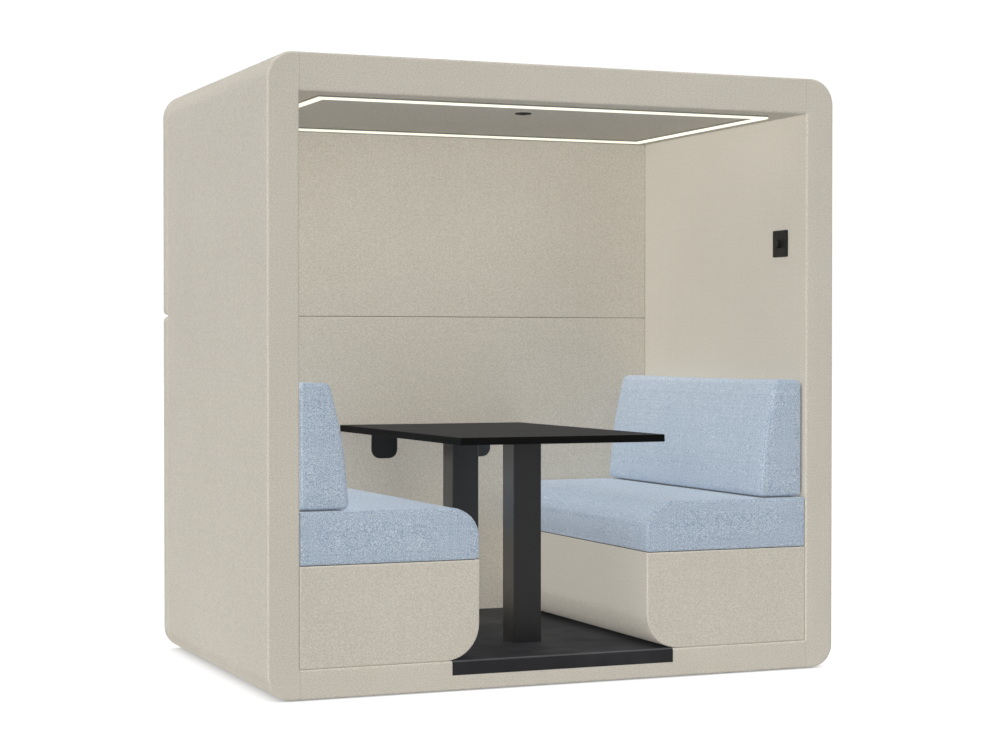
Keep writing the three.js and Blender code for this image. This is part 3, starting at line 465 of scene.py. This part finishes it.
ALUMINIUM = metal(
    "aluminium", dark=srgb(188, 189, 190), light=srgb(208, 209, 210), rough=0.34, brushed=0.06
)
SLOTS = {
    "shell_fabric": SHELL_FABRIC,
    "cushion_fabric": CUSHION_FABRIC,
    "black_laminate": laminate(),
    "black_steel": coated_steel(),
    "floor_rubber": floor_covering(),
    "dark_board": DARK_BOARD,
    "birch": BIRCH,
    "zinc_steel": ZINC_STEEL,
    "aluminium": ALUMINIUM,
    "opal_plastic": lit_opal(joint=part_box("light_diffuser")[1].z),
    "light_board": circuit_board(),
    "driver_casing": casing(),
    "black_plastic": moulded_plastic("black_plastic", tone=27, grain=900.0),
    "foot_rubber": rubber(),
}


# CAD nodes: their slot's material, welded and smoothed over their rounded edges

WELD_REACH = 0.01 * MM
CORNER_ANGLE = math.radians(38)


def smoothing():
    """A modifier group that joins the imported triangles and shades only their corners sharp."""
    group = bpy.data.node_groups.new("smooth_rounds", "GeometryNodeTree")
    for way in ("INPUT", "OUTPUT"):
        group.interface.new_socket("Geometry", in_out=way, socket_type="NodeSocketGeometry")
    start = group.nodes.new("NodeGroupInput")
    weld = group.nodes.new("GeometryNodeMergeByDistance")
    weld.inputs["Distance"].default_value = WELD_REACH
    plain = group.nodes.new("GeometryNodeRemoveAttribute")
    plain.inputs["Name"].default_value = "custom_normal"
    smooth = group.nodes.new("GeometryNodeSetShadeSmooth")
    sharp = group.nodes.new("GeometryNodeSetShadeSmooth")
    sharp.domain = "EDGE"
    sharp.inputs["Shade Smooth"].default_value = False
    angle = group.nodes.new("GeometryNodeInputMeshEdgeAngle")
    corner = group.nodes.new("FunctionNodeCompare")
    corner.operation = "GREATER_THAN"
    corner.inputs[1].default_value = CORNER_ANGLE
    end = group.nodes.new("NodeGroupOutput")
    link = group.links.new
    link(start.outputs[0], plain.inputs["Geometry"])
    link(plain.outputs["Geometry"], weld.inputs["Geometry"])
    link(weld.outputs["Geometry"], smooth.inputs["Geometry"])
    link(smooth.outputs["Geometry"], sharp.inputs["Geometry"])
    link(angle.outputs["Unsigned Angle"], corner.inputs[0])
    link(corner.outputs[0], sharp.inputs["Selection"])
    link(sharp.outputs["Geometry"], end.inputs[0])
    return group


SMOOTH = smoothing()
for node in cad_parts.values():
    slot = node.data.materials[0].name.split(".")[0]
    node.data.materials[0] = SLOTS[slot]
    node.modifiers.new("Smooth rounds", "NODES").node_group = SMOOTH
    weighted = node.modifiers.new("Flat faces", "WEIGHTED_NORMAL")
    weighted.keep_sharp = True


# Cushions

# The edge between an end panel and the wrap is a quarter round with its seam in the middle
EDGE_ANGLES = (0, 16, 32, 40, 45, 50, 58, 74, 90)
SEAM_AT = EDGE_ANGLES.index(45)
# Rings of an end panel, as shares of the way out from its middle
PANEL_SHARES = (0.985, 0.95, 0.89, 0.8, 0.69, 0.57, 0.45, 0.33, 0.21, 0.1)
LEAST_RADIUS = 2 * MM
# Filling, and what makes the two covers of a pair differ
FILL_FRAMES = 14
DRAWN_IN = 4 * MM
UNEVEN = 0.9 * MM
UNEVEN_SCALE = 4.5
LEFT_SEED = 3.1
RIGHT_SEED = 11.7
# Stitches: where each begins and ends in its step, and how a strand tapers along its length
STITCH_PITCH = 7.5 * MM
STITCH_BEGINS = 0.08
STITCH_ENDS = 0.80
STITCH_LIFT = 0.45
STITCH_OUTWARD = 0.9
THREAD_RADIUS = 0.75 * MM
STRAND_SIDES = 6
STRAND_TAPER = ((0.0, 0.45), (0.3, 1.0), (0.7, 1.0), (1.0, 0.45))

# A corner of an outline: its place, its radius, the steps of its arc and of the run to the next
Corner = namedtuple("Corner", "place radius arc run")


def outline(corners, inset):
    """The closed outline of these corners in X and Z, drawn in by inset."""
    count = len(corners)
    ends = [Vector(corner.place) for corner in corners]
    ways = [(ends[(i + 1) % count] - ends[i]).normalized() for i in range(count)]
    inward = [Vector((-way.y, way.x)) for way in ways]
    arcs = []
    for i, corner in enumerate(corners):
        turn = ways[i - 1].angle(ways[i])
        radius = max(corner.radius - inset, LEAST_RADIUS)
        bisector = (inward[i - 1] + inward[i]).normalized()
        tip = ends[i] + bisector * inset / math.cos(turn / 2)
        centre = tip + bisector * radius / math.cos(turn / 2)
        start = math.atan2(-inward[i - 1].y, -inward[i - 1].x)
        angles = [start + turn * k / corner.arc for k in range(corner.arc + 1)]
        arcs.append([centre + radius * Vector((math.cos(a), math.sin(a))) for a in angles])
    points = []
    for i, corner in enumerate(corners):
        points += arcs[i]
        onward = arcs[(i + 1) % count][0]
        points += [arcs[i][-1].lerp(onward, k / corner.run) for k in range(1, corner.run)]
    return points


def cushion_rows(corners, y0, y1, edge, groove, steps):
    """Rings of points from the middle of one end panel, round its edge, along and to the other."""
    rim = outline(corners, edge)
    middle = sum(rim, Vector((0, 0))) / len(rim)
    panel = [[middle.lerp(point, share) for point in rim] for share in reversed(PANEL_SHARES)]
    rows = [(0.0, ring) for ring in panel]
    for step, angle in enumerate(EDGE_ANGLES):
        reach = edge - (groove if step == SEAM_AT else 0.0)
        turned = math.radians(angle)
        ring = outline(corners, edge - reach * math.sin(turned))
        rows.append((edge - reach * math.cos(turned), ring))
    near_end = [(y0 + along, ring) for along, ring in rows]
    far_end = [(y1 - along, ring) for along, ring in reversed(rows)]
    full = outline(corners, 0.0)
    length = y1 - y0
    wrap = [(y0 + edge + (length - 2 * edge) * k / steps, full) for k in range(1, steps)]
    return near_end + wrap + far_end


def cushion_mesh(name, rows):
    """The rings joined into one closed mesh."""
    points = [(p.x, y, p.y) for y, ring in rows for p in ring]
    count = len(rows[0][1])
    faces = []
    for row in range(len(rows) - 1):
        for i in range(count):
            j = (i + 1) % count
            a, b = row * count, (row + 1) * count
            faces.append((a + i, b + i, b + j, a + j))
    for y, ring, start, turn in ((*rows[0], 0, -1), (*rows[-1], len(points) - count, 1)):
        hub = sum(ring, Vector((0, 0))) / count
        points.append((hub.x, y, hub.y))
        last = len(points) - 1
        for i in range(count):
            face = (last, start + (i + 1) % count, start + i)
            faces.append(face[::turn])
    mesh = bpy.data.meshes.new(name)
    mesh.from_pydata(points, [], faces)
    mesh.shade_smooth()
    return mesh


def inflate(mesh, held, zones, limits):
    """Fills the cover: cloth under pressure, held along its seams and where it rests.

    Each zone's swelling is scaled down to its limit.
    """
    body = bpy.data.objects.new("cover", mesh)
    scene.collection.objects.link(body)
    group = body.vertex_groups.new(name="held")
    for index, weight in enumerate(held):
        group.add([index], weight, "REPLACE")
    cloth = body.modifiers.new("Cloth", "CLOTH")
    cloth.settings.quality = 4
    cloth.settings.mass = 0.15
    cloth.settings.tension_stiffness = 12
    cloth.settings.compression_stiffness = 12
    cloth.settings.bending_stiffness = 1.5
    cloth.settings.vertex_group_mass = "held"
    cloth.settings.use_pressure = True
    cloth.settings.uniform_pressure_force = 0.5
    cloth.settings.effector_weights.gravity = 0.0
    cloth.point_cache.frame_end = FILL_FRAMES
    for step in range(1, FILL_FRAMES + 1):
        scene.frame_set(step)
    filled = body.evaluated_get(bpy.context.evaluated_depsgraph_get()).to_mesh()
    moves = [v.co - r.co for v, r in zip(filled.vertices, mesh.vertices)]
    scene.frame_set(1)
    bpy.data.objects.remove(body)
    for zone, limit in limits.items():
        members = [i for i, z in enumerate(zones) if z == zone]
        most = max(moves[i].length for i in members)
        share = min(1.0, limit / most)
        for i in members:
            mesh.vertices[i].co += moves[i] * share


def stitch_spots(path):
    """The points where the stitches along a closed path begin and end, in turn."""
    lengths = [(path[(i + 1) % len(path)] - p).length for i, p in enumerate(path)]
    total = sum(lengths)
    count = int(total / STITCH_PITCH)
    spots = []
    at, i = 0.0, 0
    for k in range(2 * count):
        goal = total * (k // 2 + (STITCH_BEGINS if k % 2 == 0 else STITCH_ENDS)) / count
        while at + lengths[i] < goal:
            at += lengths[i]
            i += 1
        spots.append(path[i].lerp(path[(i + 1) % len(path)], (goal - at) / lengths[i]))
    return spots


def stitches(path, middle):
    """Points and faces of short raised stitches, each a tapered strand that lies in the seam."""
    spots = stitch_spots(path)
    sides = range(STRAND_SIDES)
    last_ring = (len(STRAND_TAPER) - 1) * STRAND_SIDES
    points, faces = [], []
    for start, end in zip(spots[::2], spots[1::2]):
        way = (end - start).normalized()
        out = (start.lerp(end, 0.5) - middle).normalized()
        side = way.cross(out).normalized()
        out = side.cross(way)
        base = len(points)
        for share, size in STRAND_TAPER:
            spot = start.lerp(end, share)
            for turn in sides:
                angle = math.tau * turn / STRAND_SIDES
                spoke = side * math.cos(angle) + out * math.sin(angle)
                points.append(spot + spoke * THREAD_RADIUS * size)
        for ring in range(base, base + last_ring, STRAND_SIDES):
            for turn in sides:
                a, b = ring + turn, ring + (turn + 1) % STRAND_SIDES
                faces.append((a, b, b + STRAND_SIDES, a + STRAND_SIDES))
        faces.append(tuple(base + turn for turn in reversed(sides)))
        faces.append(tuple(base + last_ring + turn for turn in sides))
    return points, faces


def add_piece(name, mesh, material):
    mesh.materials.append(material)
    piece = bpy.data.objects.new(name, mesh)
    scene.collection.objects.link(piece)
    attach(piece, "pod")
    return piece


def mirrored(mesh, name):
    """The mesh of the left side, for the right."""
    other = mesh.copy()
    other.name = name
    for vertex in other.vertices:
        vertex.co.x = -vertex.co.x
    other.flip_normals()
    return other


def cushion(kind, corners, y0, y1, edge, groove, steps, rests, drawn, limits):
    """A pair of cushions, left and right, each with its stitching.

    rests says where the cover is held, and drawn how far a side pulls in between the ends.
    """
    rows = cushion_rows(corners, y0, y1, edge, groove, steps)
    mesh = cushion_mesh(f"left_{kind}", rows)
    ring = len(rows[0][1])
    first = len(PANEL_SHARES) + SEAM_AT
    seams = (first, len(rows) - 1 - first)
    zones, held = [], []
    for i, vertex in enumerate(mesh.vertices):
        row = i // ring
        wrap = seams[0] <= row <= seams[1]
        zones.append("wrap" if wrap else "panel")
        held.append(1.0 if row in seams or rests(vertex.co) else 0.0)
        share = math.sin(math.pi * min(1.0, max(0.0, (vertex.co.y - y0) / (y1 - y0))))
        vertex.co += drawn(vertex.co) * share
    inflate(mesh, held, zones, limits)
    right = mirrored(mesh, f"right_{kind}")
    for side, cover, seed in (("left", mesh, LEFT_SEED), ("right", right, RIGHT_SEED)):
        for vertex, hold in zip(cover.vertices, held):
            uneven = noise.noise(vertex.co * UNEVEN_SCALE + Vector((seed, seed, 0)))
            vertex.co += vertex.normal * (UNEVEN * uneven * (1.0 - hold))
        lines = [[cover.vertices[row * ring + k].co.copy() for k in range(ring)] for row in seams]
        piece = add_piece(f"{side}_{kind}", cover, CUSHION_FABRIC)
        piece.modifiers.new("Subdivision", "SUBSURF").render_levels = 1
        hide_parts(f"{side}_{kind}_cushion")
        points, faces = [], []
        for line in lines:
            middle = sum(line, Vector()) / ring
            middle.y *= STITCH_OUTWARD
            lifted = [p + (p - middle).normalized() * groove * STITCH_LIFT for p in line]
            more, joined = stitches(lifted, middle)
            faces += [tuple(index + len(points) for index in face) for face in joined]
            points += more
        thread = bpy.data.meshes.new(f"{side}_{kind}_stitching")
        thread.from_pydata(points, [], faces)
        thread.shade_smooth()
        add_piece(f"{side}_{kind}_stitching", thread, THREAD)


# Places of the left cushions, which the right ones mirror
NEAR = 2 * MM
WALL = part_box("left_seat_cushion")[0].x
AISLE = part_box("left_bench_base")[1].x
SEAT_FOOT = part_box("left_seat_cushion")[0].z
SEAT_TOP = 0.613
SEAT_ENDS = -0.695, 0.5907
LEAN_FOOT = -0.762
LEAN_BELLY = -0.7835, 0.84
LEAN_HEAD = -0.829
LEAN_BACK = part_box("left_back_board")[0].x + 5 * MM
LEAN_BOTTOM, LEAN_TOP = 0.6175, 1.033
LEAN_ENDS = -0.680, 0.573
# How far behind its foot the back cushion holds the seat down
PRESSED_BEHIND = 12 * MM


def seat_rests(p):
    """Held on its board, along the wall and under the back cushion."""
    under_back = p.z > SEAT_TOP - MM and p.x < LEAN_FOOT - PRESSED_BEHIND
    return p.z < SEAT_FOOT + NEAR or p.x < WALL + NEAR or under_back


def seat_drawn(p):
    """The side along the aisle pulls in."""
    return Vector((-DRAWN_IN, 0, 0)) if p.x > AISLE - NEAR else Vector()


def back_rests(p):
    """Held on the seat and along the wall."""
    return p.z < LEAN_BOTTOM + NEAR or p.x < LEAN_BACK + NEAR


def back_drawn(p):
    """The head pulls down."""
    return Vector((0, 0, -DRAWN_IN)) if p.z > LEAN_TOP - NEAR else Vector()


cushion(
    "seat",
    corners=[
        Corner((WALL, SEAT_FOOT), radius=6 * MM, arc=3, run=36),
        Corner((AISLE, SEAT_FOOT), radius=12 * MM, arc=5, run=6),
        Corner((AISLE, SEAT_TOP), radius=100 * MM, arc=15, run=36),
        Corner((WALL, SEAT_TOP), radius=6 * MM, arc=3, run=9),
    ],
    y0=SEAT_ENDS[0],
    y1=SEAT_ENDS[1],
    edge=8 * MM,
    groove=3.2 * MM,
    steps=90,
    rests=seat_rests,
    drawn=seat_drawn,
    limits={"wrap": 9 * MM, "panel": 3 * MM},
)
cushion(
    "back",
    corners=[
        Corner((LEAN_BACK, LEAN_BOTTOM), radius=8 * MM, arc=4, run=12),
        Corner((LEAN_FOOT, LEAN_BOTTOM), radius=20 * MM, arc=6, run=10),
        Corner(LEAN_BELLY, radius=1200 * MM, arc=12, run=8),
        Corner((LEAN_HEAD, LEAN_TOP), radius=28 * MM, arc=8, run=6),
        Corner((LEAN_BACK, LEAN_TOP), radius=22 * MM, arc=7, run=26),
    ],
    y0=LEAN_ENDS[0],
    y1=LEAN_ENDS[1],
    edge=13 * MM,
    groove=2.0 * MM,
    steps=88,
    rests=back_rests,
    drawn=back_drawn,
    limits={"wrap": 5 * MM, "panel": 3 * MM},
)


# Floor, light and camera

FLOOR_REACH = 60.0
FLOOR_BOUNCE = (0.60, 0.60, 0.60)
FLOOR_SHADED = (0.34, 0.34, 0.34)
FLOOR_GLOW = 0.76
CONTACT_SHADOW_REACH = 0.18
WORLD_WHITE = (1.03, 1.03, 1.03)
WORLD_LIGHT = 0.10
WORLD_IN_GLOSS = 0.28
LAMP_SOFTNESS = math.radians(25)
# The camera, fitted to edges that were read in the photograph
CAMERA_SENSOR = 36.0
CAMERA_LENS = 78.453
CAMERA_REACH = 200.0
CAMERA_PLACE = (-3.03184, -7.46056, 1.15433)
CAMERA_TILT = -0.01467
CAMERA_TURN = -0.39167


def floor_look():
    """A pale floor: white to the camera, with a painted contact shadow close to and under the pod,
    and dim in a gloss.
    """
    material = bpy.data.materials.new("studio_floor")
    material.use_nodes = True
    look = Nodes(material.node_tree)
    path = look.add("ShaderNodeLightPath").outputs
    seen = look.math("MAXIMUM", path["Is Camera Ray"], path["Is Transmission Ray"])
    # Painted contact shadow: the white glow fades where the pod is near
    contact_shadow = look.add("ShaderNodeAmbientOcclusion", {"Distance": CONTACT_SHADOW_REACH})
    covered = look.math("SUBTRACT", 1.0, contact_shadow.outputs["AO"])
    clear = look.math("SUBTRACT", 1.0, look.math("MULTIPLY", covered, covered))
    lit = look.add("ShaderNodeBsdfDiffuse", {"Color": FLOOR_BOUNCE})
    shaded = look.add("ShaderNodeBsdfDiffuse", {"Color": FLOOR_SHADED})
    glow = look.math("MULTIPLY", look.math("MULTIPLY", clear, FLOOR_GLOW), seen)
    white = look.add("ShaderNodeEmission", {"Strength": glow})
    both = look.add("ShaderNodeAddShader", {0: shaded.outputs[0], 1: white.outputs[0]})
    direct = look.math("MAXIMUM", seen, path["Is Glossy Ray"])
    mix = look.add("ShaderNodeMixShader", {0: direct, 1: lit.outputs[0], 2: both.outputs[0]})
    look.add("ShaderNodeOutputMaterial", {"Surface": mix.outputs[0]})
    return material


def studio_floor():
    signs = ((-1, -1), (1, -1), (1, 1), (-1, 1))
    corners = [(x * FLOOR_REACH, y * FLOOR_REACH, 0) for x, y in signs]
    mesh = bpy.data.meshes.new("studio_floor")
    mesh.from_pydata(corners, [], [(0, 1, 2, 3)])
    mesh.materials.append(floor_look())
    floor = bpy.data.objects.new("studio_floor", mesh)
    scene.collection.objects.link(floor)


def studio_world():
    """Even light from all round: white where the camera sees it, and less so in a gloss."""
    world = bpy.data.worlds.new("studio")
    world.use_nodes = True
    look = Nodes(world.node_tree)
    path = look.add("ShaderNodeLightPath").outputs
    seen = look.math("MAXIMUM", path["Is Camera Ray"], path["Is Transmission Ray"])
    gloss = look.math("MULTIPLY", path["Is Glossy Ray"], WORLD_IN_GLOSS)
    strength = look.math("MAXIMUM", look.math("MAXIMUM", gloss, seen), WORLD_LIGHT)
    light = look.add("ShaderNodeBackground", {"Color": WORLD_WHITE, "Strength": strength})
    look.add("ShaderNodeOutputWorld", {"Surface": light.outputs[0]})
    scene.world = world


def lamp(name, side, share, shadow):
    """Soft light from one side, which adds this share of plain daylight and shows in no gloss."""
    light = bpy.data.lights.new(name, "SUN")
    light.energy = math.pi * share
    light.angle = LAMP_SOFTNESS
    light.use_shadow = shadow
    holder = bpy.data.objects.new(name, light)
    holder.rotation_euler = (-Vector(side)).to_track_quat("-Z", "Y").to_euler()
    holder.visible_glossy = False
    scene.collection.objects.link(holder)


studio_floor()
studio_world()
lamp("key", side=(0.374, -0.925, 0.07), share=0.21, shadow=True)
lamp("left", side=(-1.0, -0.10, 0.15), share=0.55, shadow=False)
lamp("front", side=(-0.25, -1.0, 0.15), share=0.335, shadow=False)
lamp("above", side=(-0.1, -0.2, 1.0), share=0.66, shadow=False)
lamp("below", side=(0.0, -0.2, -1.0), share=0.06, shadow=False)
lamp("rear", side=(0.75, 0.8, 0.2), share=0.82, shadow=False)

scene.view_settings.view_transform = "Standard"
camera = bpy.data.objects.new("camera", bpy.data.cameras.new("camera"))
camera.data.sensor_width = CAMERA_SENSOR
camera.data.lens = CAMERA_LENS
camera.data.clip_end = CAMERA_REACH
camera.location = CAMERA_PLACE
camera.rotation_euler = (math.pi / 2 + CAMERA_TILT, 0.0, CAMERA_TURN)
scene.collection.objects.link(camera)
scene.camera = camera
